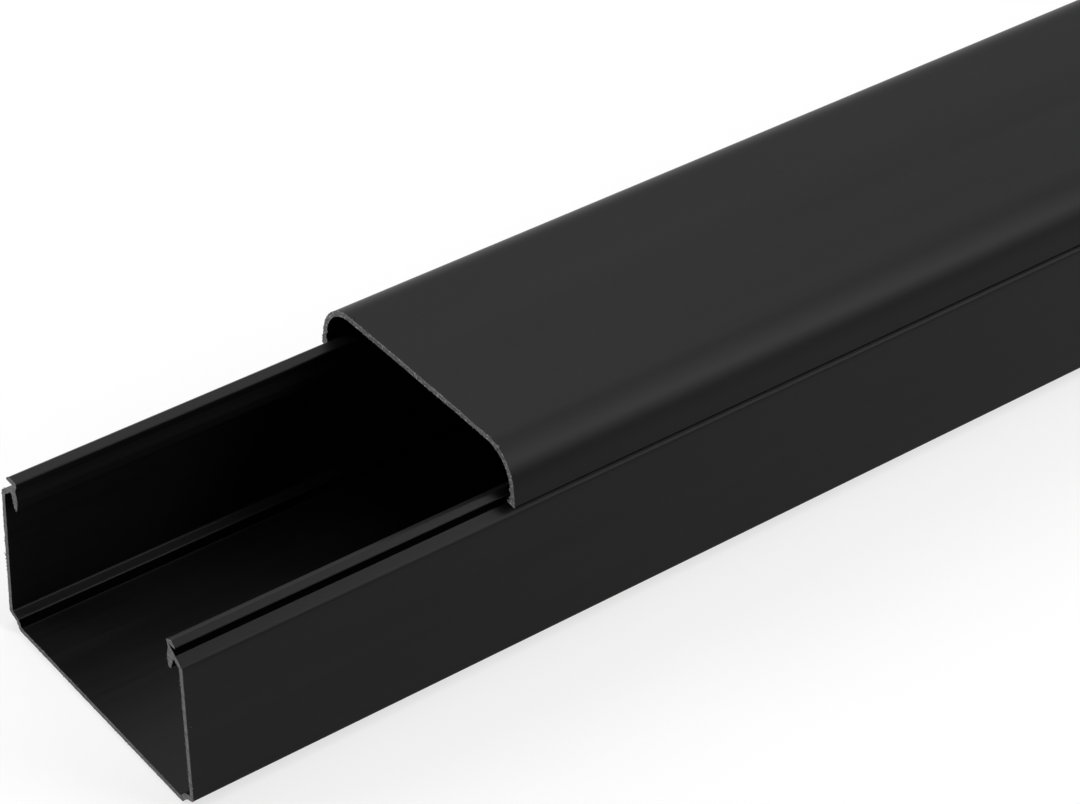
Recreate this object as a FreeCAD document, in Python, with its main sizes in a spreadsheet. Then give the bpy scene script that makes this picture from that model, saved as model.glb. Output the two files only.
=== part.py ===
"""Line cover for air conditioner pipes: a channel base and its snap-on cover, each a 2 m plastic extrusion.

The part lies on the back of its base. +X runs along the length, +Y across it and +Z out of the wall that
the base is screwed to. The origin is the centre of the base's back face.
Each piece is drawn as half a section, padded along the length and mirrored about the middle plane.
"""
import FreeCAD, Part
import math
import os
import Sketcher

# Driving sizes in millimetres: alias, value, what it is.
SIZES = [
    ("length", 2000.0, "stock length of the base and of the cover"),
    ("setback", 90.0, "how far the cover's near end lies behind the base's near end"),
    ("width", 80.0, "over the two walls, at their foot"),
    ("height", 59.5, "over the closed cover"),
    ("base_wall", 1.3, "thickness of the base's floor, walls and shoulders"),
    ("wall_lean", 1.05, "how far a wall leans in from its foot to its shoulder"),
    ("heel_width", 4.6, "from the wall's foot in to the edge of the back face"),
    ("riser_run", 1.6, "how far the heel's riser slopes outwards"),
    ("riser_rise", 2.2, "height of the heel's riser above the back face"),
    ("ledge_rise", 1.1, "how much the heel's ledge climbs to the wall"),
    ("heel_radius", 0.8, "rounding of the heel's bends"),
    ("shoulder_drop", 4.8, "from the rail's underside down to the bend between shoulder and wall"),
    ("shoulder_radius", 1.5, "outside rounding of that bend"),
    ("rail_drop", 13.3, "from the cover's face down to the rail's underside"),
    ("rail_nose", 0.45, "thickness of the rail at its tip"),
    ("bevel_run", 1.4, "how far the bevel that the hook slides over runs in from the rail's tip"),
    ("bevel_rise", 1.1, "how much that bevel climbs"),
    ("rail_slope", 0.25, "how much the rail's top climbs on from the bevel to its inner edge"),
    ("rail_inset", 3.7, "from the wall's foot in to the rail's tip"),
    ("rail_width", 4.45, "width of the rail, from its tip in to its inner edge"),
    ("notch_depth", 2.8, "depth of the notch under the rail"),
    ("lip_height", 1.4, "height of the rail's blunt inner edge"),
    ("neck_drop", 2.9, "from the rail's top down to the waist of the neck that carries it"),
    ("neck_inset", 0.6, "how far the waist lies back from the rail's inner edge"),
    ("neck_radius", 1.0, "rounding of the waist and of the skirt's swell"),
    ("swell_drop", 6.0, "from the rail's top down to where the skirt swells inwards again"),
    ("skirt_drop", 8.8, "how far the skirt hangs below the rail's top"),
    ("skirt_lean", 0.4, "how far the skirt's tip leans back from its swell"),
    ("skirt_tip", 1.1, "thickness of the skirt at its tip"),
    ("skirt_root", 2.65, "from the rail's inner edge to the space behind the skirt"),
    ("tip_radius", 0.2, "rounding of the rail's nose, the hook's edges and the ridge"),
    ("root_radius", 0.45, "rounding of the skirt and of the space behind it"),
    ("cover_wall", 1.35, "thickness of the cover's face and legs"),
    ("crown", 0.15, "how much the cover's face rises to its middle"),
    ("corner_radius", 10.8, "outside rounding between the cover's face and its legs"),
    ("splay", 2.15, "how far a leg spreads from its corner to its foot"),
    ("seam", 3.4, "from the bend of the shoulder up to the foot of the leg"),
    ("clearance", 0.3, "free space between the hook and the rail's underside"),
    ("hook_reach", 0.3, "how far the hook reaches under the rail"),
    ("hook_height", 0.8, "height of the hook's blunt inner edge"),
    ("rail_gap", 0.45, "free space between the rail's tip and the thick foot of the leg"),
    ("foot_lift", 1.0, "from the rail's underside up to the top of the leg's thick foot"),
    ("ridge_lift", 3.0, "from the rail's underside up to the ridge inside the leg"),
    ("ridge_height", 1.0, "height of the ridge where it joins the leg"),
    ("ridge_reach", 0.5, "how far the ridge stands inwards over the rail"),
]
COLUMN_VALUE = "A"
COLUMN_NOTE = "B"
SAME = 1e-7


class Size:
    """A length in millimetres together with the formula that gives it from the spreadsheet."""

    def __init__(self, value, formula):
        self.value = value
        self.formula = formula

    def __add__(self, other):
        other = as_size(other)
        return Size(self.value + other.value, f"({self.formula} + {other.formula})")

    def __sub__(self, other):
        other = as_size(other)
        return Size(self.value - other.value, f"({self.formula} - {other.formula})")

    def __mul__(self, other):
        other = as_size(other)
        return Size(self.value * other.value, f"({self.formula} * {other.formula})")

    def __truediv__(self, other):
        other = as_size(other)
        return Size(self.value / other.value, f"({self.formula} / {other.formula})")


def smaller(one, other):
    """The smaller of two sizes."""
    return Size(min(one.value, other.value), f"min({one.formula}; {other.formula})")


def as_size(number):
    """Lets a plain number stand in a formula."""
    if isinstance(number, Size):
        return number
    return Size(float(number), repr(float(number)))


class Corner:
    """A corner of a section: across, up and the radius that rounds it, or none where it is sharp."""

    def __init__(self, across, up, radius=None):
        self.across = as_size(across)
        self.up = as_size(up)
        self.radius = radius

    def point(self):
        return FreeCAD.Vector(self.across.value, self.up.value, 0)


def make_sheet(doc):
    """The spreadsheet of driving sizes, and each one as a Size under its own name."""
    sheet = doc.addObject("Spreadsheet::Sheet", "Sizes")
    named = {}
    for row, (alias, value, note) in enumerate(SIZES, start=1):
        sheet.set(f"{COLUMN_VALUE}{row}", str(value))
        sheet.setAlias(f"{COLUMN_VALUE}{row}", alias)
        sheet.set(f"{COLUMN_NOTE}{row}", note)
        named[alias] = Size(value, f"Sizes.{alias}")
    doc.recompute()
    return named


def inset(before, corner, after, wall, radius=None):
    """The corner that lies one wall inside a bend, on the left of the way from before to after."""
    ahead = (after.point() - corner.point()).normalize()
    along = (corner.point() - before.point()).normalize()
    left_ahead = FreeCAD.Vector(-ahead.y, ahead.x, 0)
    left_along = FreeCAD.Vector(-along.y, along.x, 0)
    share = (left_ahead + left_along) * (1 / (1 + left_ahead.dot(left_along)))
    return Corner(corner.across + wall * share.x, corner.up + wall * share.y, radius)


def place(sketch, geometry, end, corner):
    """Holds a point of the sketch at a corner, by its distances from the origin."""
    ways = (("DistanceX", corner.across, -2), ("DistanceY", corner.up, -1))
    for kind, size, axis in ways:
        if abs(size.value) < SAME:
            sketch.addConstraint(Sketcher.Constraint("PointOnObject", geometry, end, axis))
            continue
        index = sketch.addConstraint(Sketcher.Constraint(kind, -1, 1, geometry, end, size.value))
        sketch.setExpression(f"Constraints[{index}]", size.formula)


def round_off(sketch, line, next_line, corner, start, finish):
    """Rounds the bend between two lines with a tangent arc that is held by the sharp corner."""
    chord_in = (corner.point() - start).normalize()
    chord_out = (finish - corner.point()).normalize()
    turn = chord_in.x * chord_out.y - chord_in.y * chord_out.x
    side = FreeCAD.Vector(-chord_in.y, chord_in.x, 0) * math.copysign(1, turn)
    centre = start + side * corner.radius.value
    circle = Part.Circle(centre, FreeCAD.Vector(0, 0, 1), corner.radius.value)
    angles = [math.atan2(p.y - centre.y, p.x - centre.x) for p in (start, finish)]
    if turn < 0:
        angles.reverse()
    arc = sketch.addGeometry(Part.ArcOfCircle(circle, angles[0], angles[1]))
    first, last = (1, 2) if turn > 0 else (2, 1)
    mark = sketch.addGeometry(Part.Point(corner.point()), True)
    place(sketch, mark, 1, corner)
    sketch.addConstraint(Sketcher.Constraint("PointOnObject", mark, 1, line))
    sketch.addConstraint(Sketcher.Constraint("PointOnObject", mark, 1, next_line))
    sketch.addConstraint(Sketcher.Constraint("Tangent", line, 2, arc, first))
    sketch.addConstraint(Sketcher.Constraint("Tangent", arc, last, next_line, 1))
    index = sketch.addConstraint(Sketcher.Constraint("Radius", arc, corner.radius.value))
    sketch.setExpression(f"Constraints[{index}]", corner.radius.formula)


def draw_chain(sketch, corners):
    """Draws the lines and arcs that join the corners, and says which line is first and which is last."""
    starts = [corners[0].point()]
    finishes = []
    for before, corner, after in zip(corners, corners[1:], corners[2:]):
        back = (before.point() - corner.point()).normalize()
        ahead = (after.point() - corner.point()).normalize()
        reach = 0.0
        if corner.radius:
            reach = corner.radius.value / math.tan(back.getAngle(ahead) / 2)
        finishes.append(corner.point() + back * reach)
        starts.append(corner.point() + ahead * reach)
    finishes.append(corners[-1].point())
    lines = [sketch.addGeometry(Part.LineSegment(a, b)) for a, b in zip(starts, finishes)]
    for index, corner in enumerate(corners[1:-1]):
        line, next_line = lines[index], lines[index + 1]
        if corner.radius:
            round_off(sketch, line, next_line, corner, finishes[index], starts[index + 1])
        else:
            sketch.addConstraint(Sketcher.Constraint("Coincident", line, 2, next_line, 1))
            place(sketch, line, 2, corner)
    return lines[0], lines[-1]


def draw_crown(sketch, line, end, top, radius, corner):
    """An arc from the middle line, where its centre lies, that runs on into a line without a bend."""
    centre = FreeCAD.Vector(0, top.value - radius.value, 0)
    spoke = corner.point() - centre
    tilt = math.acos(radius.value / spoke.Length)
    start = math.atan2(spoke.y, spoke.x) + tilt
    circle = Part.Circle(centre, FreeCAD.Vector(0, 0, 1), radius.value)
    arc = sketch.addGeometry(Part.ArcOfCircle(circle, start, math.pi / 2))
    sketch.addConstraint(Sketcher.Constraint("PointOnObject", arc, 3, -2))
    place(sketch, arc, 2, Corner(0, top))
    index = sketch.addConstraint(Sketcher.Constraint("Radius", arc, radius.value))
    sketch.setExpression(f"Constraints[{index}]", radius.formula)
    sketch.addConstraint(Sketcher.Constraint("Tangent", arc, 1, line, end))
    return arc


def close_on_middle(sketch, first, first_end, last, last_end):
    """The edge on the middle plane, which the mirror image takes away again."""
    ends = [sketch.getPoint(last, last_end), sketch.getPoint(first, first_end)]
    line = sketch.addGeometry(Part.LineSegment(ends[0], ends[1]))
    sketch.addConstraint(Sketcher.Constraint("Coincident", line, 1, last, last_end))
    sketch.addConstraint(Sketcher.Constraint("Coincident", line, 2, first, first_end))


def origin_plane(body, role):
    return next(plane for plane in body.Origin.OriginFeatures if plane.Role == role)


def new_section(body, name):
    sketch = body.newObject("Sketcher::SketchObject", name)
    sketch.AttachmentSupport = [(origin_plane(body, "YZ_Plane"), "")]
    sketch.MapMode = "FlatFace"
    return sketch


def extrude(doc, body, sketch, length):
    """Pads half a section evenly to both sides of the origin and mirrors it about the middle plane."""
    doc.recompute()
    pad = body.newObject("PartDesign::Pad", f"{body.Name}_pad")
    pad.Profile = sketch
    pad.SideType = "Symmetric"
    pad.Length = length.value
    pad.setExpression("Length", length.formula)
    body.Tip = pad
    doc.recompute()
    mirror = body.newObject("PartDesign::Mirrored", f"{body.Name}_mirror")
    mirror.Originals = [pad]
    mirror.MirrorPlane = (origin_plane(body, "XZ_Plane"), [""])
    mirror.Refine = True
    body.Tip = mirror
    doc.recompute()


def new_body(doc, name):
    body = doc.addObject("PartDesign::Body", name)
    body.Label = name
    return body


def rail_tip(size):
    """How far the rail's tip is from the middle plane."""
    return size["width"] / 2 - size["rail_inset"]


def rail_underside(size):
    """Height of the rail's underside, which the cover's hooks lie below."""
    return size["height"] - size["rail_drop"]


def shoulder_bend(size):
    """The outer bend between a wall and its shoulder, which the cover's foot is flush with."""
    across = size["width"] / 2 - size["wall_lean"]
    return Corner(across, rail_underside(size) - size["shoulder_drop"], size["shoulder_radius"])


def base_section(size):
    """Half of the base's section: back face, heel, wall, shoulder, rail, neck, skirt and back inside."""
    wall = size["base_wall"]
    bend = size["heel_radius"]
    tip = size["tip_radius"]
    root = size["root_radius"]
    back = Corner(0, 0)
    edge = Corner(size["width"] / 2 - size["heel_width"], 0, bend)
    riser = Corner(edge.across + size["riser_run"], size["riser_rise"], bend)
    foot = Corner(size["width"] / 2, riser.up + size["ledge_rise"], bend)
    shoulder = shoulder_bend(size)
    notch = Corner(rail_tip(size) - size["notch_depth"], rail_underside(size))
    rail_low = Corner(rail_tip(size), rail_underside(size), tip)
    rail_nose = Corner(rail_tip(size), rail_low.up + size["rail_nose"], tip)
    bevel = Corner(rail_tip(size) - size["bevel_run"], rail_nose.up + size["bevel_rise"], root)
    mouth = rail_tip(size) - size["rail_width"]
    rail_edge = Corner(mouth, bevel.up + size["rail_slope"], root)
    lip = Corner(mouth, rail_edge.up - size["lip_height"], root)
    neck = Corner(mouth + size["neck_inset"], rail_edge.up - size["neck_drop"], size["neck_radius"])
    swell = Corner(mouth, rail_edge.up - size["swell_drop"], size["neck_radius"])
    skirt_inner = Corner(mouth + size["skirt_lean"], rail_edge.up - size["skirt_drop"], root)
    skirt_outer = Corner(skirt_inner.across + size["skirt_tip"], skirt_inner.up, root)
    inner_shoulder = inset(foot, shoulder, notch, wall, bend)
    slope = (notch.up - shoulder.up) / (shoulder.across - notch.across)
    space = mouth + size["skirt_root"]
    space_top = Corner(space, inner_shoulder.up + (inner_shoulder.across - space) * slope, root)
    inner_foot = inset(riser, foot, shoulder, wall, bend)
    inner_riser = inset(edge, riser, foot, wall, bend)
    inner_edge = inset(back, edge, riser, wall, bend)
    return [
        back, edge, riser, foot, shoulder, notch, rail_low, rail_nose, bevel, rail_edge, lip, neck, swell,
        skirt_inner, skirt_outer, space_top, inner_shoulder, inner_foot, inner_riser, inner_edge,
        Corner(0, wall),
    ]


def make_base(doc, size):
    """The channel that is screwed to the wall, with a rail along each edge for the cover."""
    body = new_body(doc, "channel_base")
    sketch = new_section(body, "base_section")
    first, last = draw_chain(sketch, base_section(size))
    for line, end, corner in ((first, 1, Corner(0, 0)), (last, 2, Corner(0, size["base_wall"]))):
        place(sketch, line, end, corner)
    close_on_middle(sketch, first, 1, last, 2)
    extrude(doc, body, sketch, size["length"])
    return body


def crown_end(top, radius, corner):
    """Where the line from a corner meets the crown's arc, which the sketch then holds by tangency."""
    centre = FreeCAD.Vector(0, top.value - radius.value, 0)
    spoke = corner.point() - centre
    angle = math.atan2(spoke.y, spoke.x) + math.acos(radius.value / spoke.Length)
    across = radius.value * math.cos(angle)
    up = centre.y + radius.value * math.sin(angle)
    return Corner(across, up)


def widest(before, corner, after, room):
    """The largest radius whose arc takes no more than a given length of the line before its corner."""
    back = (before.point() - corner.point()).normalize()
    ahead = (after.point() - corner.point()).normalize()
    return room * math.tan(back.getAngle(ahead) / 2)


def cover_leg(size, face, outer, foot):
    """The foot, hook, thick foot, ridge and inner corner of the cover's section, on the way round it."""
    tip = size["tip_radius"]
    wall = size["cover_wall"]
    lean = size["splay"] / (outer.up - foot.up)
    inner = inset(foot, outer, face, wall)

    def on_leg(up, inwards=0.0, radius=None):
        """A corner at some height on the leg's inner face, or a little way inwards of it."""
        return Corner(inner.across + (inner.up - up) * lean - inwards, up, radius)

    low = rail_underside(size)
    hook_edge = rail_tip(size) - size["hook_reach"]
    hook_top = low - size["clearance"]
    recess = rail_tip(size) + size["rail_gap"]
    foot_top = low + size["foot_lift"]
    ridge = low + size["ridge_lift"]
    ridge_top = ridge + size["ridge_height"] / 2
    inner.radius = smaller(size["corner_radius"] - wall, widest(foot, outer, face, inner.up - ridge_top))
    return [
        foot,
        Corner(hook_edge, hook_top - size["hook_height"], tip), Corner(hook_edge, hook_top, tip),
        Corner(recess, hook_top), Corner(recess, foot_top), on_leg(foot_top),
        on_leg(ridge - size["ridge_height"] / 2), on_leg(ridge, size["ridge_reach"], tip),
        on_leg(ridge_top), inner,
    ]


def make_cover(doc, size):
    """The cover, whose two hooks snap under the base's rails."""
    body = new_body(doc, "snap_cover")
    sketch = new_section(body, "cover_section")
    foot = Corner(shoulder_bend(size).across, shoulder_bend(size).up + size["seam"], size["tip_radius"])
    corner_across = foot.across - size["splay"]
    flat = corner_across - size["corner_radius"]
    slope = size["crown"] * 2 / flat
    outer_fall = size["crown"] + slope * size["corner_radius"]
    outer = Corner(corner_across, size["height"] - outer_fall, size["corner_radius"])
    radius = flat / slope
    inner_top = size["height"] - size["cover_wall"]
    inner_radius = radius - size["cover_wall"]
    face = crown_end(size["height"], radius, outer)
    leg = cover_leg(size, face, outer, foot)
    ceiling = crown_end(inner_top, inner_radius, leg[-1])
    first, last = draw_chain(sketch, [face, outer] + leg + [ceiling])
    outer_arc = draw_crown(sketch, first, 1, size["height"], radius, outer)
    inner_arc = draw_crown(sketch, last, 2, inner_top, inner_radius, leg[-1])
    close_on_middle(sketch, outer_arc, 2, inner_arc, 2)
    extrude(doc, body, sketch, size["length"])
    body.setExpression("Placement.Base.x", size["setback"].formula)
    return body


def check_document(doc, pieces):
    """Stops before anything is written if an object of the document or a piece has failed."""
    for item in doc.Objects:
        if any(word in ("Invalid", "Error") for word in item.State):
            raise RuntimeError(f"{item.Label} failed: {item.State}")
    for piece in pieces:
        shape = piece.Shape
        if shape.isNull() or not shape.isValid() or len(shape.Solids) != 1:
            raise RuntimeError(f"{piece.Label} is not one valid solid")


def main():
    doc = FreeCAD.newDocument("line_cover")
    size = make_sheet(doc)
    pieces = [make_base(doc, size), make_cover(doc, size)]
    doc.recompute()
    check_document(doc, pieces)
    os.makedirs("parts", exist_ok=True)
    for piece in pieces:
        piece.Shape.exportStep(f"parts/{piece.Label}.step")
        section = piece.Shape.Volume / piece.Shape.BoundBox.XLength
        print(f"{piece.Label}: section {section:.1f} mm2, box {piece.Shape.BoundBox}")


main()
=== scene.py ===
"""Air conditioner line cover in black plastic: the looks of its channel base and its snap-on cover.

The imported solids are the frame. Both extrusions are drawn again here from their own sections, with finer
roundings, the faint sink lines that a die leaves and rough sawn ends, and burrs hang on the cut edges.
Sizes of a section are in millimetres, as on its drawing. Everything that Blender gets is in metres.
"""

import logging
import math
from dataclasses import dataclass, field, fields, replace
from enum import Enum

import bmesh
import bpy
import numpy as np
from bpy.types import ID, Material, Mesh, Node, NodeSocket as Socket, NodeTree, Object
from mathutils import Matrix, Vector
from mathutils.geometry import delaunay_2d_cdt

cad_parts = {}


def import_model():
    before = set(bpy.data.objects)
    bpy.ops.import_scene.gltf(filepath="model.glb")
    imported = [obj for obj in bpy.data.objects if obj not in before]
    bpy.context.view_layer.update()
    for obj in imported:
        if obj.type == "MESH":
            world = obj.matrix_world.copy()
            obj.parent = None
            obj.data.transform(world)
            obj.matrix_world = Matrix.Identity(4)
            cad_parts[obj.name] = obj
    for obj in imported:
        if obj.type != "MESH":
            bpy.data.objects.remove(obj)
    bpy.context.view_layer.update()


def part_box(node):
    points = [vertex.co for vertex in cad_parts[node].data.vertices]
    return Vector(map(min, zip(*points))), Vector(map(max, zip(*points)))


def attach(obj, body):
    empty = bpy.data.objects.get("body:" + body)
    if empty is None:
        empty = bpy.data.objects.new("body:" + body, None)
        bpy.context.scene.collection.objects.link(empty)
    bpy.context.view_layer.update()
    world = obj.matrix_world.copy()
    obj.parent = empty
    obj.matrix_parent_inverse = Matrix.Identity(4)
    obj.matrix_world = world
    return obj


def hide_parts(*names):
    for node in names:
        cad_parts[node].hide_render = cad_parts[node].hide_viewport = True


LOG = logging.getLogger("line_cover")

MM = 0.001

ARC_STEP = math.radians(9)
RUN_STEP = 1.0
SHARP_BEND = math.radians(38)
MERGE_DISTANCE = 1e-5
OUTLINE_TOLERANCE = 1e-6
FILL_INSIDE = 1

Value = Socket | Material | tuple | float | int | bool
Inputs = dict[str | int, Value]
Span = tuple[float, float]
Triple = tuple[float, float, float]

SOCKET_KINDS = {float: "Float", int: "Int", Vector: "Vector", Material: "Material"}


class End(Enum):
    """The two sawn ends of a piece, each with the sign of its outward direction along X."""

    NEAR = -1
    FAR = 1


@dataclass(frozen=True)
class Corner:
    """A corner of a section in millimetres.

    Args:
        across: Distance from the middle plane.
        up: Height above the back face.
        radius: The rounding of the corner, or nothing where it is sharp.
    """

    across: float
    up: float
    radius: float = 0.0

    def point(self) -> Vector:
        """The corner before it is rounded."""
        return Vector((self.across, self.up))


def round_corner(before: Corner, corner: Corner, after: Corner) -> list[Vector]:
    """Lays a tangent arc in the bend between two straight runs.

    Args:
        before: The corner that the outline comes from.
        corner: The corner to round.
        after: The corner that the outline goes to.

    Returns:
        The points of the arc, or the corner alone where it is sharp.
    """
    point = corner.point()
    if not corner.radius:
        return [point]
    back = (before.point() - point).normalized()
    ahead = (after.point() - point).normalized()
    half = back.angle(ahead) / 2
    centre = point + (back + ahead).normalized() * (corner.radius / math.sin(half))
    start = point + back * (corner.radius / math.tan(half)) - centre
    sweep = math.copysign(math.pi - 2 * half, ahead.y * back.x - ahead.x * back.y)
    steps = max(2, math.ceil(abs(sweep) / ARC_STEP))
    turns = [Matrix.Rotation(-sweep * step / steps, 2) for step in range(steps + 1)]
    return [centre + turn @ start for turn in turns]


def chain(corners: list[Corner]) -> list[Vector]:
    """The outline through a row of corners, each rounded as it says, with sharp first and last points."""
    points = [corners[0].point()]
    for before, corner, after in zip(corners, corners[1:], corners[2:]):
        points += round_corner(before, corner, after)
    return points + [corners[-1].point()]


def inset(before: Corner, corner: Corner, after: Corner, wall: float, radius: float) -> Corner:
    """Finds the corner that lies one wall inside a bend, on the left of the way round the outline.

    Args:
        before: The outer corner before the bend.
        corner: The outer corner of the bend.
        after: The outer corner after the bend.
        wall: Thickness of the wall.
        radius: Rounding of the inner corner.

    Returns:
        The inner corner.
    """
    along = (corner.point() - before.point()).normalized().orthogonal()
    ahead = (after.point() - corner.point()).normalized().orthogonal()
    point = corner.point() + (along + ahead) * (wall / (1 + along.dot(ahead)))
    return Corner(point.x, point.y, radius)


def split_runs(points: list[Vector], step: float) -> list[Vector]:
    """Adds points to the long runs of an open outline, so that none is longer than a step."""
    fine = []
    for start, finish in zip(points, points[1:]):
        parts = max(1, math.ceil((finish - start).length / step))
        fine += [start.lerp(finish, part / parts) for part in range(parts)]
    return fine + [points[-1]]


def add_object(name: str, data: ID) -> Object:
    """Puts an object with its data in the scene."""
    made = bpy.data.objects.new(name, data)
    bpy.context.scene.collection.objects.link(made)
    return made


class Wiring:
    """Adds nodes to a shader or geometry tree and joins them up."""

    def __init__(self, tree: NodeTree) -> None:
        """Takes the tree that gets the nodes."""
        self.tree = tree

    def feed(self, node: Node, inputs: Inputs) -> None:
        """Joins an output to each named or numbered input of a node, or sets it to a plain value."""
        for key, value in inputs.items():
            if isinstance(value, Socket):
                self.tree.links.new(value, node.inputs[key])
            else:
                node.inputs[key].default_value = value

    def add(self, kind: str, inputs: Inputs | None = None, **settings: str | bool) -> Node:
        """Adds one node.

        Args:
            kind: Blender's name of the node.
            inputs: What each named or numbered input gets.
            settings: The node's own choices.

        Returns:
            The node.
        """
        node = self.tree.nodes.new(kind)
        for name, setting in settings.items():
            setattr(node, name, setting)
        self.feed(node, inputs or {})
        return node

    def out(self, kind: str, inputs: Inputs | None = None, **settings: str | bool) -> Socket:
        """Adds one node and gives its first live output."""
        return next(socket for socket in self.add(kind, inputs, **settings).outputs if socket.enabled)

    def math(self, operation: str, first: Value, second: Value = 0.0, third: Value = 0.0) -> Socket:
        """One sum on plain numbers."""
        return self.out("ShaderNodeMath", {0: first, 1: second, 2: third}, operation=operation)

    def times(self, first: Value, second: Value) -> Socket:
        """The product of two numbers."""
        return self.math("MULTIPLY", first, second)

    def vector(self, operation: str, first: Value, second: Value) -> Socket:
        """One sum on vectors."""
        return self.out("ShaderNodeVectorMath", {0: first, 1: second}, operation=operation)

    def combine(self, x: Value, y: Value = 0.0, z: Value = 0.0) -> Socket:
        """A vector from its three parts, along X where it has no others."""
        return self.out("ShaderNodeCombineXYZ", {0: x, 1: y, 2: z})

    def grey(self, value: Value) -> Socket:
        """The grey of a number."""
        return self.combine(value, value, value)

    def spread(self, value: Value, low: float, high: float, to_low: float = 0, to_high: float = 1) -> Socket:
        """Maps one range of a number onto another and holds it there."""
        ends = {"From Min": low, "From Max": high, "To Min": to_low, "To Max": to_high}
        return self.out("ShaderNodeMapRange", {"Value": value, **ends}, clamp=True)

    def noise(self, place: Socket, width: float | Triple, seed: Value, detail: float = 1.0) -> Socket:
        """Soft noise from 0 to 1, whose features have one width or a width for each axis."""
        widths = width if isinstance(width, tuple) else (width,) * 3
        scaled = self.vector("MULTIPLY", place, tuple(1 / size for size in widths))
        inputs = {"Vector": scaled, "W": seed, "Scale": 1.0, "Detail": detail}
        return self.out("ShaderNodeTexNoise", inputs, noise_dimensions="4D")

    def bump(self, height: Value) -> Socket:
        """The bent normal of a relief whose height is in metres."""
        return self.out("ShaderNodeBump", {"Height": height, "Strength": 1.0, "Distance": 1.0})


class GeometryTree(Wiring):
    """A Geometry Nodes tree with named inputs, which a modifier sets by their identifiers."""

    def __init__(self, name: str, inputs: dict[str, type], *sizes: type) -> None:
        """Starts the tree.

        Args:
            name: Name of the tree.
            inputs: The type of value for each named input.
            sizes: Dataclasses whose fields are inputs too.
        """
        super().__init__(bpy.data.node_groups.new(name, "GeometryNodeTree"))
        face = self.tree.interface
        for way in ("OUTPUT", "INPUT"):
            face.new_socket("Geometry", in_out=way, socket_type="NodeSocketGeometry")
        inputs = inputs | {size.name: size.type for group in sizes for size in fields(group)}
        self.identifiers = {
            title: face.new_socket(title, socket_type=f"NodeSocket{SOCKET_KINDS[kind]}").identifier
            for title, kind in inputs.items()
        }
        self.given = self.add("NodeGroupInput").outputs
        self.result = self.add("NodeGroupOutput")

    def place(self) -> Socket:
        """The place of each point."""
        return self.out("GeometryNodeInputPosition")

    def moved(self, geometry: Socket, **where: Socket) -> Socket:
        """A geometry with its points moved by an Offset or to a Position."""
        return self.out("GeometryNodeSetPosition", {"Geometry": geometry, **where})

    def dressed(self, geometry: Socket, finish: str) -> Socket:
        """A geometry with the finish of a named input."""
        return self.out("GeometryNodeSetMaterial", {"Geometry": geometry, "Material": self.given[finish]})

    def joined(self, *parts: Socket) -> Socket:
        """Several geometries as one."""
        whole = self.out("GeometryNodeJoinGeometry")
        for part in parts:
            self.feed(whole.node, {0: part})
        return whole

    def run_on(self, mesh: Mesh, name: str, values: dict[str, Value]) -> Object:
        """Runs the tree on a mesh and keeps what comes out as a plain mesh at the origin.

        Args:
            mesh: The mesh that goes in.
            name: Name of the finished piece.
            values: A value for each named input.

        Returns:
            The finished object, with no modifier on it.
        """
        carrier = add_object(f"{name}_source", mesh)
        modifier = carrier.modifiers.new(self.tree.name, "NODES")
        modifier.node_group = self.tree
        for title, value in values.items():
            modifier[self.identifiers[title]] = value
        graph = bpy.context.evaluated_depsgraph_get()
        made = bpy.data.meshes.new_from_object(carrier.evaluated_get(graph), depsgraph=graph)
        carrier.modifiers.remove(modifier)
        bpy.data.objects.remove(carrier)
        made.name = name
        return add_object(name, made)


def new_material(name: str) -> tuple[Material, Wiring, Node]:
    """Makes a material and gives it with the wiring of its tree and its shader."""
    made = bpy.data.materials.new(name)
    made.use_nodes = True
    return made, Wiring(made.node_tree), made.node_tree.nodes["Principled BSDF"]


@dataclass(frozen=True)
class Plastic:
    """A finish of the black plastic, with noise on Object coordinates.

    Args:
        name: Name of the material.
        seed: Number that sets its noise apart from that of other finishes.
    """

    name: str
    seed: float

    def surface(self, wiring: Wiring, place: Socket) -> Inputs:
        """Works out what the inputs of the shader get at each place."""
        raise NotImplementedError

    def material(self) -> Material:
        """Builds the material."""
        made, wiring, shader = new_material(self.name)
        place = wiring.add("ShaderNodeTexCoord").outputs["Object"]
        wiring.feed(shader, self.surface(wiring, place))
        return made


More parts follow.
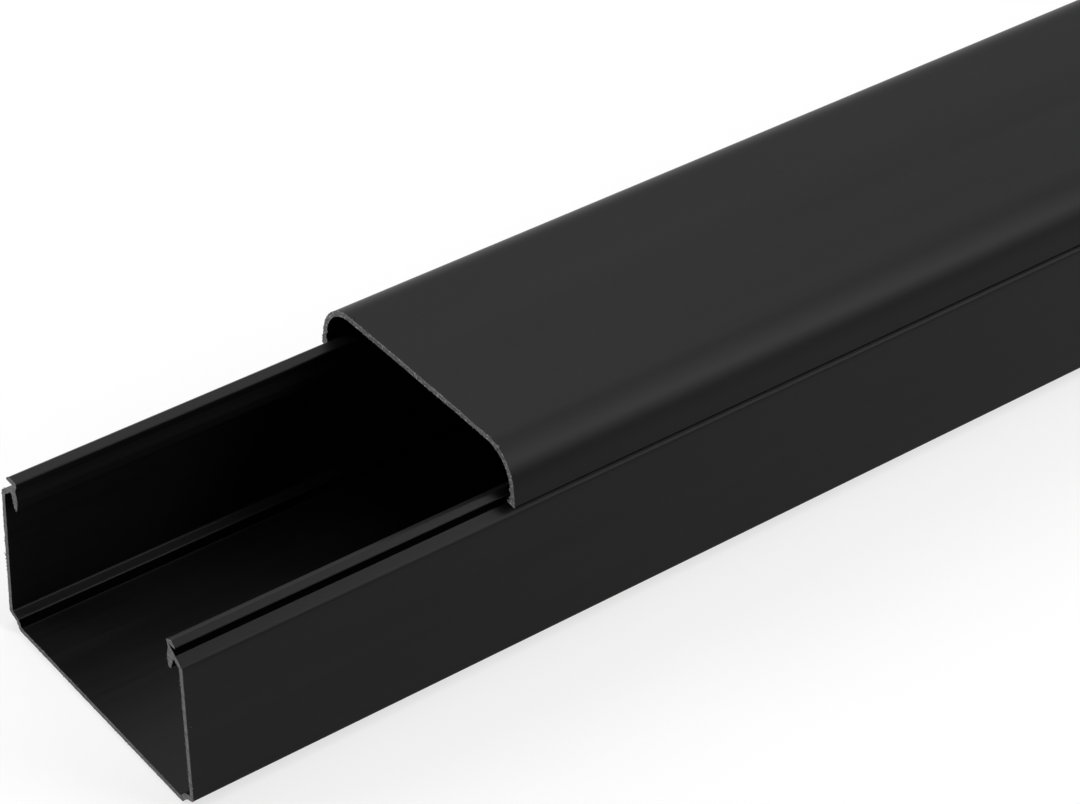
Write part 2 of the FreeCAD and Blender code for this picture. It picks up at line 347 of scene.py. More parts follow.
@dataclass(frozen=True)
class SatinPlastic(Plastic):
    """Satin black plastic as it leaves the die: fine lines along the length over a faint grain.

    Args:
        darkest: Grey of the darkest streaks, as linear light.
        lightest: Grey of the lightest streaks.
        smoothest: Roughness along the polished lines of the die.
        roughest: Roughness between them.
        index: Refractive index, which sets the strength of the surface gloss.
        line_size: Size of the lines along each axis, in metres.
        cloud_size: Size of the soft clouds between them.
        line_share: Share of the streaks that comes from the lines, and not from the clouds.
        contrast: Values of the streaks that are darkest and lightest.
    """

    darkest: float = 0.0035
    lightest: float = 0.0080
    smoothest: float = 0.34
    roughest: float = 0.44
    index: float = 1.2
    line_size: Triple = (0.5, 0.0016, 0.0016)
    cloud_size: Triple = (0.11, 0.013, 0.013)
    grain_size: float = 0.00045
    line_height: float = 4e-6
    grain_height: float = 2.5e-6
    line_share: float = 0.45
    contrast: Span = (0.3, 0.7)
    CLOUD_SALT = 7
    GRAIN_SALT = 13

    def surface(self, wiring: Wiring, place: Socket) -> Inputs:
        """Streaks of grey and gloss over a fine relief."""
        lines = wiring.noise(place, self.line_size, self.seed, detail=3.0)
        clouds = wiring.noise(place, self.cloud_size, self.seed + self.CLOUD_SALT, detail=2.0)
        grain = wiring.noise(place, self.grain_size, self.seed + self.GRAIN_SALT)
        clouds = wiring.times(clouds, 1 - self.line_share)
        streaks = wiring.math("MULTIPLY_ADD", lines, self.line_share, clouds)
        relief = wiring.times(lines, self.line_height)
        relief = wiring.math("MULTIPLY_ADD", grain, self.grain_height, relief)
        return {
            "Base Color": wiring.grey(wiring.spread(streaks, *self.contrast, self.darkest, self.lightest)),
            "Roughness": wiring.spread(streaks, *self.contrast, self.smoothest, self.roughest),
            "IOR": self.index,
            "Normal": wiring.bump(relief),
        }


@dataclass(frozen=True)
class PaintedShadePlastic(SatinPlastic):
    """Painted shade: the same plastic made darker and without gloss, where shade falls in the notches,
    inside the heel's riser and along the foot's lower edge.
    """

    # Painted shade: a lower grey and almost no gloss stand in for the shade in these places.
    darkest: float = 0.001
    lightest: float = 0.002
    smoothest: float = 0.85
    roughest: float = 0.95
    index: float = 1.03


@dataclass(frozen=True)
class SawnPlastic(Plastic):
    """The same plastic where a saw has cut it: greyed, matt and scored by the teeth.

    Args:
        darkest: Grey at the bottom of a score, as linear light.
        lightest: Grey of the ridges between them.
        torn: Grey of the specks that are torn white.
        roughness: Roughness of the cut.
        gloss: Specular level of the cut.
        score_size: Size of the scores along each axis, in metres.
        height: Height of the flecks and scores.
        score_share: Share of the wear that comes from the scores, and not from the flecks.
        wear: Values of the wear that are darkest and lightest.
        tearing: Values of the noise at which a speck starts and is whitest.
    """

    darkest: float = 0.07
    lightest: float = 0.27
    torn: float = 0.60
    roughness: float = 0.72
    gloss: float = 0.3
    score_size: Triple = (0.00035, 0.009, 0.00035)
    fleck_size: float = 0.0005
    speck_size: float = 0.0005
    height: float = 3e-5
    score_share: float = 0.5
    wear: Span = (0.36, 0.66)
    tearing: Span = (0.57, 0.68)
    FLECK_SALT = 5
    SPECK_SALT = 9

    def surface(self, wiring: Wiring, place: Socket) -> Inputs:
        """Scores and flecks of grey with torn white specks."""
        scores = wiring.noise(place, self.score_size, self.seed, detail=2.0)
        flecks = wiring.noise(place, self.fleck_size, self.seed + self.FLECK_SALT, detail=3.0)
        specks = wiring.noise(place, self.speck_size, self.seed + self.SPECK_SALT)
        flecks = wiring.times(flecks, 1 - self.score_share)
        worn = wiring.math("MULTIPLY_ADD", scores, self.score_share, flecks)
        grey = wiring.spread(worn, *self.wear, self.darkest, self.lightest)
        white = wiring.spread(specks, *self.tearing, 0.0, self.torn)
        return {
            "Base Color": wiring.grey(wiring.math("MAXIMUM", grey, white)),
            "Roughness": self.roughness,
            "Specular IOR Level": self.gloss,
            "Normal": wiring.bump(wiring.times(worn, self.height)),
        }


@dataclass(frozen=True)
class Saw:
    """What the blade does to a cut face. Lengths are in metres.

    Args:
        pitch: Distance between two ridges that the teeth leave.
        depth: How deep the scores go into the piece.
        lean: Angle between the ridges and the level.
        wander: How far a ridge strays from its line.
    """

    pitch: float = 1.15 * MM
    depth: float = 0.11 * MM
    lean: float = math.radians(24)
    wander: float = 0.9 * MM


@dataclass(frozen=True)
class Die:
    """What the die and the cooling do to the walls. Lengths are in metres.

    Args:
        sink: How far the surface sinks in along the deepest lines.
        sink_across: Usual distance between two such lines.
        sink_along: Length over which a line fades or strays.
        steps: Number of parts that a piece is split into along its length.
    """

    sink: float = 0.035 * MM
    sink_across: float = 7.0 * MM
    sink_along: float = 0.55
    steps: int = 80


class PushedSection(GeometryTree):
    """Geometry Nodes that push a flat section along X and finish its two sawn ends."""

    SINK_CONTRAST = (0.25, 0.75)
    ROUGH_WIDTH = 0.8 * MM
    ROUGH_SHARE = 0.4
    STRAY_WIDTH = 6 * MM

    def __init__(self) -> None:
        """Builds the tree with its named inputs."""
        inputs = {"near": float, "far": float, "seed": float, "skin": Material, "sawn": Material}
        super().__init__("pushed_section", inputs, Die, Saw)
        whole = self.joined(self.walls(), self.cap("near"), self.cap("far"))
        whole = self.out("GeometryNodeMergeByDistance", {"Geometry": whole, "Distance": MERGE_DISTANCE})
        self.feed(self.result, {0: self.scored(self.sunk(whole))})

    def walls(self) -> Socket:
        """Sweeps the rim of the section, where an edge has fewer than two faces, from end to end."""
        at = self.add("ShaderNodeSeparateXYZ", {0: self.place()}).outputs
        turned = self.combine(self.times(at[1], -1.0), self.times(at[2], -1.0))
        upright = self.moved(self.given["Geometry"], Position=turned)
        on_rim = self.math("LESS_THAN", self.out("GeometryNodeInputMeshEdgeNeighbors"), 2.0)
        rim = self.out("GeometryNodeMeshToCurve", {"Mesh": upright, "Selection": on_rim})
        ends = {"Start": self.combine(self.given["near"]), "End": self.combine(self.given["far"])}
        line = self.out("GeometryNodeCurvePrimitiveLine", ends)
        count = self.math("ADD", self.given["steps"], 1.0)
        path = self.out("GeometryNodeResampleCurve", {"Curve": line, "Count": count})
        path = self.out("GeometryNodeSetCurveNormal", {"Curve": path}, mode="Z_UP")
        shape = {"Curve": path, "Profile Curve": rim, "Fill Caps": False}
        swept = self.out("GeometryNodeCurveToMesh", shape)
        return self.dressed(swept, "skin")

    def cap(self, end: str) -> Socket:
        """Moves a copy of the flat section to one end."""
        place = self.combine(self.given[end])
        return self.dressed(self.moved(self.given["Geometry"], Offset=place), "sawn")

    def sunk(self, piece: Socket) -> Socket:
        """Lets the walls sink in by soft lines that run along the piece."""
        across = self.math("DIVIDE", 1.0, self.given["sink_across"])
        along = self.math("DIVIDE", 1.0, self.given["sink_along"])
        stretched = self.vector("MULTIPLY", self.place(), self.combine(along, across, across))
        lines = self.spread(self.noise(stretched, 1.0, self.given["seed"]), *self.SINK_CONTRAST)
        outwards = self.vector("MULTIPLY", self.out("GeometryNodeInputNormal"), (0.0, 1.0, 1.0))
        depth = self.times(lines, self.times(self.given["sink"], -1.0))
        return self.moved(piece, Offset=self.vector("MULTIPLY", outwards, depth))

    def scored(self, piece: Socket) -> Socket:
        """Scores both cut faces with the ridges of the saw, inwards from the plane of the cut."""
        place = self.place()
        at = self.add("ShaderNodeSeparateXYZ", {0: place}).outputs
        near = self.math("COMPARE", at[0], self.given["near"], MERGE_DISTANCE)
        far = self.math("COMPARE", at[0], self.given["far"], MERGE_DISTANCE)
        rough = self.noise(place, self.ROUGH_WIDTH, self.given["seed"], detail=2.0)
        stray = self.noise(place, self.STRAY_WIDTH, self.given["seed"])
        rise = self.times(at[2], self.math("COSINE", self.given["lean"]))
        rise = self.math("MULTIPLY_ADD", at[1], self.math("SINE", self.given["lean"]), rise)
        rise = self.math("MULTIPLY_ADD", stray, self.given["wander"], rise)
        phase = self.times(self.math("DIVIDE", rise, self.given["pitch"]), math.tau)
        ridge = self.spread(self.math("SINE", phase), -1.0, 1.0, 0.0, 1.0 - self.ROUGH_SHARE)
        share = self.math("MULTIPLY_ADD", rough, self.ROUGH_SHARE, ridge)
        depth = self.times(share, self.given["depth"])
        inwards = self.times(depth, self.math("SUBTRACT", near, far))
        return self.moved(piece, Offset=self.combine(inwards))


@dataclass(frozen=True)
class Burrs:
    """What the saw leaves hanging on the edges of a cut. Lengths are in metres.

    Args:
        bead: Largest radius of the torn bead along an edge.
        bead_step: Distance between two points of the bead.
        crumb: Largest radius of a crumb.
        crumb_spots: Places on a rim where a crumb may hang.
        crumb_share: Share of these places where one does.
        sliver: Longest thread that curls off an edge.
        sliver_spots: Places on a rim where a thread may hang.
        sliver_share: Share of these places where one does.
    """

    bead: float = 0.11 * MM
    bead_step: float = 0.33 * MM
    crumb: float = 0.25 * MM
    crumb_spots: int = 330
    crumb_share: float = 0.22
    sliver: float = 1.4 * MM
    sliver_spots: int = 210
    sliver_share: float = 0.12


@dataclass(frozen=True)
class Lump:
    """A burr that stands out: its place on the section, its size, both in millimetres, and its end."""

    across: float
    up: float
    end: End
    size: float


class CutBurrs(GeometryTree):
    """Geometry Nodes that hang a torn bead, crumbs and curled threads on the rims of the cuts.

    Sizes of a shape are shares of the largest one. Four numbers in a row are the ends of a range and what
    they become. Salts set the random draws apart: of the size, of the spots that are used and of the turn.
    """

    LUMP = "lump"
    BEAD_SIDES = 6
    BEAD_SETBACK = 0.5
    TEAR_WIDTH = 1.1 * MM
    TEARS = (0.4, 0.7, 0.15, 1.0)
    SWELL_WIDTH = 14 * MM
    SWELLS = (0.35, 0.6, 0.25, 1.0)
    DENT_SEED = 3.0
    DENTS = (0.3, 0.7, -0.45, 0.25)
    THREAD_SIDES = 5
    THREAD_LINE = {"Resolution": 7, "Start": (0, 0, 0), "Middle": (0.7, 0, 0.15), "End": (0.55, 0.5, 0.6)}
    THREAD_TAPER = (0.0, 1.0, 0.09, 0.02)
    CRUMB_SIZES = ((0.35, 0.3, 0.3), (1.0, 0.8, 0.8))
    CRUMB_SALTS = (20, 24, 25)
    SLIVER_SIZES = (0.35, 1.0)
    SLIVER_SALTS = (40, 44, 45)
    LUMP_SIZES = ((0.8, 0.75, 0.7), (1.0, 1.0, 1.0))
    SIZE_SALT_OF_LUMPS = 60
    TURN_SALT_OF_LUMPS = 61

    def __init__(self) -> None:
        """Builds the tree with its named inputs."""
        inputs = {"middle": float, "seed": int, "lowest": Vector, "highest": Vector, "sawn": Material}
        super().__init__("cut_burrs", inputs, Burrs)
        rims = self.out("GeometryNodeMeshToCurve", {"Mesh": self.given["Geometry"]})
        hanging = self.joined(self.bead(rims), self.crumbs(rims), self.slivers(rims), self.lumps())
        real = self.out("GeometryNodeRealizeInstances", {"Geometry": hanging})
        held = self.vector("MAXIMUM", self.place(), self.given["lowest"])
        held = self.vector("MINIMUM", held, self.given["highest"])
        self.feed(self.result, {0: self.dressed(self.moved(real, Position=held), "sawn")})

    def random(self, low: float | Triple, high: float | Triple, salt: int) -> Socket:
        """A random number or vector for each point, held by the seed."""
        kind, first = ("FLOAT_VECTOR", 0) if isinstance(low, tuple) else ("FLOAT", 2)
        inputs = {first: low, first + 1: high, "Seed": self.math("ADD", self.given["seed"], float(salt))}
        return self.out("FunctionNodeRandomValue", inputs, data_type=kind)

    def swept(self, line: Socket, sides: int, radius: Socket, closed: bool = False) -> Socket:
        """A tube along a line, with a radius for each point."""
        ring = self.out("GeometryNodeCurvePrimitiveCircle", {"Resolution": sides, "Radius": 1.0})
        inputs = {"Curve": line, "Profile Curve": ring, "Scale": radius, "Fill Caps": closed}
        return self.out("GeometryNodeCurveToMesh", inputs)

    def bead(self, rims: Socket) -> Socket:
        """A bead that follows each rim, thick in some places and almost gone in others."""
        fine = {"Curve": rims, "Length": self.given["bead_step"]}
        rim = self.out("GeometryNodeResampleCurve", fine, mode="LENGTH")
        place = self.place()
        x = self.add("ShaderNodeSeparateXYZ", {0: place}).outputs[0]
        side = self.math("SIGN", self.math("SUBTRACT", x, self.given["middle"]))
        depth = self.times(side, self.times(self.given["bead"], -self.BEAD_SETBACK))
        tears = self.spread(self.noise(place, self.TEAR_WIDTH, self.given["seed"], detail=2.0), *self.TEARS)
        swells = self.spread(self.noise(place, self.SWELL_WIDTH, self.given["seed"]), *self.SWELLS)
        radius = self.times(self.times(tears, swells), self.given["bead"])
        return self.swept(self.moved(rim, Offset=self.combine(depth)), self.BEAD_SIDES, radius)

    def crumb(self) -> Socket:
        """A rough lump of unit size."""
        ball = self.out("GeometryNodeMeshIcoSphere", {"Radius": 1.0, "Subdivisions": 2})
        dent = self.spread(self.noise(self.place(), 1.0, self.DENT_SEED, detail=2.0), *self.DENTS)
        offset = self.vector("MULTIPLY", self.out("GeometryNodeInputNormal"), dent)
        return self.moved(ball, Offset=offset)

    def thread(self) -> Socket:
        """A curled thread of unit length that thins out towards its tip."""
        line = self.out("GeometryNodeCurveQuadraticBezier", self.THREAD_LINE)
        taper = self.spread(self.out("GeometryNodeSplineParameter"), *self.THREAD_TAPER)
        return self.swept(line, self.THREAD_SIDES, taper, closed=True)

    def copies(self, points: Socket, used: Socket, shape: Socket, size: Socket, salt: int) -> Socket:
        """Puts a copy of a shape, turned at random, on each point that is used."""
        turn = self.random((0.0,) * 3, (math.tau,) * 3, salt)
        inputs = {"Points": points, "Selection": used, "Instance": shape, "Rotation": turn, "Scale": size}
        return self.out("GeometryNodeInstanceOnPoints", inputs)

    def hung(self, rims: Socket, kind: str, shape: Socket, size: Socket, salts: tuple[int, ...]) -> Socket:
        """Hangs copies of one shape on some of the evenly spaced spots of each rim.

        Args:
            rims: The rims as curves.
            kind: The kind of burr, as in the names of its inputs.
            shape: The shape to copy.
            size: Size of each copy, a number or a vector.
            salts: The salts of this kind.

        Returns:
            The copies as instances.
        """
        spots = {"Curve": rims, "Count": self.given[f"{kind}_spots"]}
        used = self.math("LESS_THAN", self.random(0.0, 1.0, salts[1]), self.given[f"{kind}_share"])
        return self.copies(self.out("GeometryNodeCurveToPoints", spots), used, shape, size, salts[2])

    def crumbs(self, rims: Socket) -> Socket:
        """Crumbs of every size up to the largest."""
        shape = self.random(*self.CRUMB_SIZES, self.CRUMB_SALTS[0])
        size = self.vector("MULTIPLY", shape, self.given["crumb"])
        return self.hung(rims, "crumb", self.crumb(), size, self.CRUMB_SALTS)

    def slivers(self, rims: Socket) -> Socket:
        """Threads of every length up to the longest."""
        size = self.times(self.random(*self.SLIVER_SIZES, self.SLIVER_SALTS[0]), self.given["sliver"])
        return self.hung(rims, "sliver", self.thread(), size, self.SLIVER_SALTS)

    def lumps(self) -> Socket:
        """The larger burrs, each where its loose point lies."""
        largest = self.out("GeometryNodeInputNamedAttribute", {"Name": self.LUMP}, data_type="FLOAT")
        marked = self.math("GREATER_THAN", largest, 0.0)
        size = self.vector("MULTIPLY", self.random(*self.LUMP_SIZES, self.SIZE_SALT_OF_LUMPS), largest)
        return self.copies(self.given["Geometry"], marked, self.crumb(), size, self.TURN_SALT_OF_LUMPS)


def flat_section(outline: list[Vector], grid: float, name: str) -> Mesh:
    """Fills an outline with small triangles, in the plane X = 0.

    Args:
        outline: The closed outline in millimetres.
        grid: Distance between the points inside it, in millimetres.
        name: Name of the mesh.

    Returns:
        The mesh, in metres.
    """
    loop = np.array([tuple(point) for point in outline])
    ahead = np.roll(loop, -1, axis=0)
    run = ahead - loop
    length = (run ** 2).sum(axis=1)
    low, high = loop.min(axis=0), loop.max(axis=0)
    inner = []
    row_height = grid * math.sqrt(0.75)
    for row, up in enumerate(np.arange(low[1], high[1], row_height)):
        across = np.arange(low[0] + (row % 2) * grid / 2, high[0], grid)
        spans = (loop[:, 1] > up) != (ahead[:, 1] > up)
        cuts = np.sort(loop[spans, 0] + (up - loop[spans, 1]) / run[spans, 1] * run[spans, 0])
        across = across[np.searchsorted(cuts, across) % 2 == 1]
        spots = np.stack([across, np.full_like(across, up)], axis=1)[:, None, :]
        share = np.clip(((spots - loop) * run).sum(axis=2) / length, 0, 1)
        gap = np.linalg.norm(loop + share[..., None] * run - spots, axis=2).min(axis=1)
        inner += [Vector(spot) for spot in spots[gap > grid / 2, 0]]
    ring = list(range(len(outline)))
    points, _, faces, *_ = delaunay_2d_cdt(outline + inner, [], [ring], FILL_INSIDE, OUTLINE_TOLERANCE)
    mesh = bpy.data.meshes.new(name)
    mesh.from_pydata([(0.0, point.x * MM, point.y * MM) for point in points], [], faces)
    return mesh


@dataclass
class Extrusion:
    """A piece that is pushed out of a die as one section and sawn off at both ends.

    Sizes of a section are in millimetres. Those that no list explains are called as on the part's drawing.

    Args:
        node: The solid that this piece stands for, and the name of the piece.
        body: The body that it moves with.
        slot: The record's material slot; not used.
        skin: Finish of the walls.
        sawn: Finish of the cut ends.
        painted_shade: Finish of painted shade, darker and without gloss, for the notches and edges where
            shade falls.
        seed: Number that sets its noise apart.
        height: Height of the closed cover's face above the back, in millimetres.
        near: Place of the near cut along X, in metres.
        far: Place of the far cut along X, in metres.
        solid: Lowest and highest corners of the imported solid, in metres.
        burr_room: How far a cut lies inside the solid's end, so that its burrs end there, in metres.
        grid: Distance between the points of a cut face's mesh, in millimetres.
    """

    node: str
    body: str
    slot: str
    skin: SatinPlastic
    sawn: SawnPlastic
    painted_shade: PaintedShadePlastic
    seed: int
    height: float
    near: float = field(init=False)
    far: float = field(init=False)
    solid: tuple[Vector, Vector] = field(init=False)
    burr_room: float = 0.15 * MM
    grid: float = 0.26
    saw: Saw = Saw()
    die: Die = Die()
    burrs: Burrs = Burrs()
    lumps: tuple[Lump, ...] = ()

    def __post_init__(self) -> None:
        """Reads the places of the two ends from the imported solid."""
        self.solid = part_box(self.node)
        self.near = self.solid[0].x + self.burr_room
        self.far = self.solid[1].x - self.burr_room

    def half_outline(self) -> list[Vector]:
        """Half of the section, from the middle plane round to the middle plane."""
        raise NotImplementedError

    def right_side(self) -> "Extrusion":
        """The piece whose half section is the right half of this one."""
        return self

    def is_painted_shade(self, across: np.ndarray, up: np.ndarray) -> np.ndarray:
        """Tells which places of a half section get the painted shade.

        Args:
            across: Distances from the middle plane in millimetres.
            up: Heights above the back in millimetres.

        Returns:
            True for each place of painted shade.
        """
        raise NotImplementedError

    def outline(self) -> list[Vector]:
        """The whole section in millimetres."""
        left, right = (split_runs(side.half_outline(), RUN_STEP) for side in (self, self.right_side()))
        return left + [Vector((-point.x, point.y)) for point in reversed(right[1:-1])]

    def build(self, pushed: PushedSection, cut_burrs: CutBurrs) -> list[Object]:
        """Makes the piece and the burrs on its cut edges.

        Args:
            pushed: The tree that pushes a section along X.
            cut_burrs: The tree that hangs burrs on the rims.

        Returns:
            The finished pieces.
        """
        sawn, outline = self.sawn.material(), self.outline()
        section = flat_section(outline, self.grid, f"{self.node}_section")
        piece = pushed.run_on(section, f"{self.node}_shell", {
            "near": self.near, "far": self.far, "seed": float(self.seed), "skin": self.skin.material(),
            "sawn": sawn, **vars(self.die), **vars(self.saw),
        })
        hung = cut_burrs.run_on(self.rims(outline), f"{self.node}_saw_burrs", {
            "middle": (self.near + self.far) / 2, "seed": self.seed, "lowest": self.solid[0],
            "highest": self.solid[1], "sawn": sawn, **vars(self.burrs),
        })
        self.painted_shade_zones(piece.data)
        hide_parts(self.node)
        for made in (piece, hung):
            finish_mesh(made)
            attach(made, self.body)
        return [piece, hung]

    def painted_shade_zones(self, mesh: Mesh) -> None:
        """Gives the places of the walls where shade falls their finish of painted shade."""
        middles = np.empty(3 * len(mesh.polygons))
        mesh.polygons.foreach_get("center", middles)
        _, across, up = middles.reshape(-1, 3).T / MM
        finishes = np.empty(len(mesh.polygons), dtype=np.int32)
        mesh.polygons.foreach_get("material_index", finishes)
        skin = next(number for number, made in enumerate(mesh.materials) if made.name == self.skin.name)
        painted_shade = np.where(across > 0, self.is_painted_shade(across, up), self.right_side().is_painted_shade(-across, up))
        # Faces in the shaded places get the painted shade.
        finishes[painted_shade & (finishes == skin)] = len(mesh.materials)
        mesh.materials.append(self.painted_shade.material())
        mesh.polygons.foreach_set("material_index", finishes)

    def rims(self, outline: list[Vector]) -> Mesh:
        """The rims of both cuts as closed loops of edges, with a marked loose point for each lump."""
        count = len(outline)
        places = {End.NEAR: self.near, End.FAR: self.far}
        points = [(x, point.x * MM, point.y * MM) for x in places.values() for point in outline]
        steps = range(count)
        edges = [(first + step, first + (step + 1) % count) for first in (0, count) for step in steps]
        points += [(places[lump.end], lump.across * MM, lump.up * MM) for lump in self.lumps]
        mesh = bpy.data.meshes.new(f"{self.node}_rims")
        mesh.from_pydata(points, edges, [])
        marks = mesh.attributes.new(CutBurrs.LUMP, "FLOAT", "POINT")
        sizes = [0.0] * (2 * count) + [lump.size * MM for lump in self.lumps]
        marks.data.foreach_set("value", sizes)
        return mesh


def finish_mesh(piece: Object) -> None:
    """Points every face of a piece outwards and shades it smooth up to its sharp bends."""
    work = bmesh.new()
    work.from_mesh(piece.data)
    bmesh.ops.recalc_face_normals(work, faces=work.faces)
    work.to_mesh(piece.data)
    work.free()
    piece.data.shade_smooth()
    piece.data.set_sharp_from_angle(angle=SHARP_BEND)


@dataclass
class ChannelBase(Extrusion):
    """The channel that is screwed to the wall, with a rail, a notch and a skirt along each edge.

    The top of the right wall is pressed inwards a little.

    Args:
        rail_dip: How far the rail's inner edge hangs below its crest.
        pressed_in: How far the top of the right wall is pressed inwards.
        pressed_down: How far that lowers its rail.
        pressed_rise: How much less its shoulder then drops.
        pressed_width: How much narrower that makes its rail.
        pressed_tilt: How much further the inner edge of its rail then hangs down.
        riser_painted_shade: How far the painted shade goes past the riser's top, as a share of the wall.
    """

    rail_dip: float = 0.45
    pressed_in: float = 1.2
    pressed_down: float = 0.3
    pressed_rise: float = 0.75
    pressed_width: float = 1.0
    pressed_tilt: float = 0.6
    riser_painted_shade: float = 0.7
    width: float = 80.0
    wall: float = 1.3
    wall_lean: float = 1.05
    heel_width: float = 4.6
    riser_run: float = 1.6
    riser_rise: float = 2.2
    ledge_rise: float = 1.1
    heel_radius: float = 0.8
    shoulder_drop: float = 4.8
    shoulder_radius: float = 1.5
    rail_drop: float = 13.3
    rail_nose: float = 0.45
    bevel_run: float = 1.4
    bevel_rise: float = 1.1
    rail_slope: float = 0.25
    rail_inset: float = 3.7
    rail_width: float = 4.45
    notch_depth: float = 2.8
    lip_height: float = 1.4
    neck_drop: float = 2.9
    neck_inset: float = 0.6
    neck_radius: float = 1.0
    swell_drop: float = 6.0
    skirt_drop: float = 8.8
    skirt_lean: float = 0.4
    skirt_tip: float = 1.1
    skirt_root: float = 2.65
    tip_radius: float = 0.2
    root_radius: float = 0.45

    def right_side(self) -> "ChannelBase":
        """The channel whose right half this one has: the top of its wall is pressed inwards."""
        changes = {
            "wall_lean": self.pressed_in, "rail_inset": self.pressed_in, "rail_drop": self.pressed_down,
            "shoulder_drop": -self.pressed_rise, "rail_width": -self.pressed_width,
            "rail_dip": self.pressed_tilt,
        }
        return replace(self, **{name: getattr(self, name) + change for name, change in changes.items()})

    def is_painted_shade(self, across: np.ndarray, up: np.ndarray) -> np.ndarray:
        """Painted shade goes in the notch under the rail, where the rail's overhang shades it, and on the
        inside of the heel's riser.
        """
        bend, low = self.shoulder_bend(), self.rail_underside()
        deepest = self.rail_tip() - self.notch_depth
        slope = (low - bend.up) / (bend.across - deepest)
        shoulder = low - (across - deepest) * slope
        under_rail = (across > deepest) & (across < self.rail_tip())
        notch = under_rail & (up < low + self.tip_radius) & (up > shoulder - self.wall / 2)
        run, rise, half_wall = self.riser_run, self.riser_rise, self.wall / 2
        heel = self.width / 2 - self.heel_width
        inside = up * run - (across - heel) * rise > half_wall * math.hypot(run, rise)
        riser = inside & (across > heel - half_wall)
        # Painted shade in the notch and on the riser, where little light reaches.
        return notch | (riser & (up < rise + self.wall * self.riser_painted_shade))

    def rail_tip(self) -> float:
        """How far the rail's tip is from the middle plane."""
        return self.width / 2 - self.rail_inset

    def rail_underside(self) -> float:
        """Height of the rail's underside."""
        return self.height - self.rail_drop

    def shoulder_bend(self) -> Corner:
        """The outer bend between a wall and its shoulder."""
        height = self.rail_underside() - self.shoulder_drop
        return Corner(self.width / 2 - self.wall_lean, height, self.shoulder_radius)

    def half_outline(self) -> list[Vector]:
        """Back face, heel, wall, shoulder, notch, rail, neck, skirt and back along the inside."""
        bend, tip, root, low = self.heel_radius, self.tip_radius, self.root_radius, self.rail_underside()
        back = Corner(0, 0)
        edge = Corner(self.width / 2 - self.heel_width, 0, bend)
        riser = Corner(edge.across + self.riser_run, self.riser_rise, bend)
        foot = Corner(self.width / 2, riser.up + self.ledge_rise, bend)
        shoulder = self.shoulder_bend()
        notch = Corner(self.rail_tip() - self.notch_depth, low)
        mouth = self.rail_tip() - self.rail_width
        bevel = low + self.rail_nose + self.bevel_rise
        top = bevel + self.rail_slope
        skirt_edge = mouth + self.skirt_lean
        inner_shoulder = inset(foot, shoulder, notch, self.wall, bend)
        slope = (notch.up - shoulder.up) / (shoulder.across - notch.across)
        space = mouth + self.skirt_root
        return chain([
            back, edge, riser, foot, shoulder, notch,
            Corner(self.rail_tip(), low, tip),
            Corner(self.rail_tip(), low + self.rail_nose, tip),
            Corner(self.rail_tip() - self.bevel_run, bevel, root),
            Corner(mouth, top - self.rail_dip, root),
            Corner(mouth, top - self.lip_height, root),
            Corner(mouth + self.neck_inset, top - self.neck_drop, self.neck_radius),
            Corner(mouth, top - self.swell_drop, self.neck_radius),
            Corner(skirt_edge, top - self.skirt_drop, root),
            Corner(skirt_edge + self.skirt_tip, top - self.skirt_drop, root),
            Corner(space, inner_shoulder.up + (inner_shoulder.across - space) * slope, root),
            inner_shoulder,
            inset(riser, foot, shoulder, self.wall, bend),
            inset(edge, riser, foot, self.wall, bend),
            inset(back, edge, riser, self.wall, bend),
            Corner(0, self.wall),
        ])


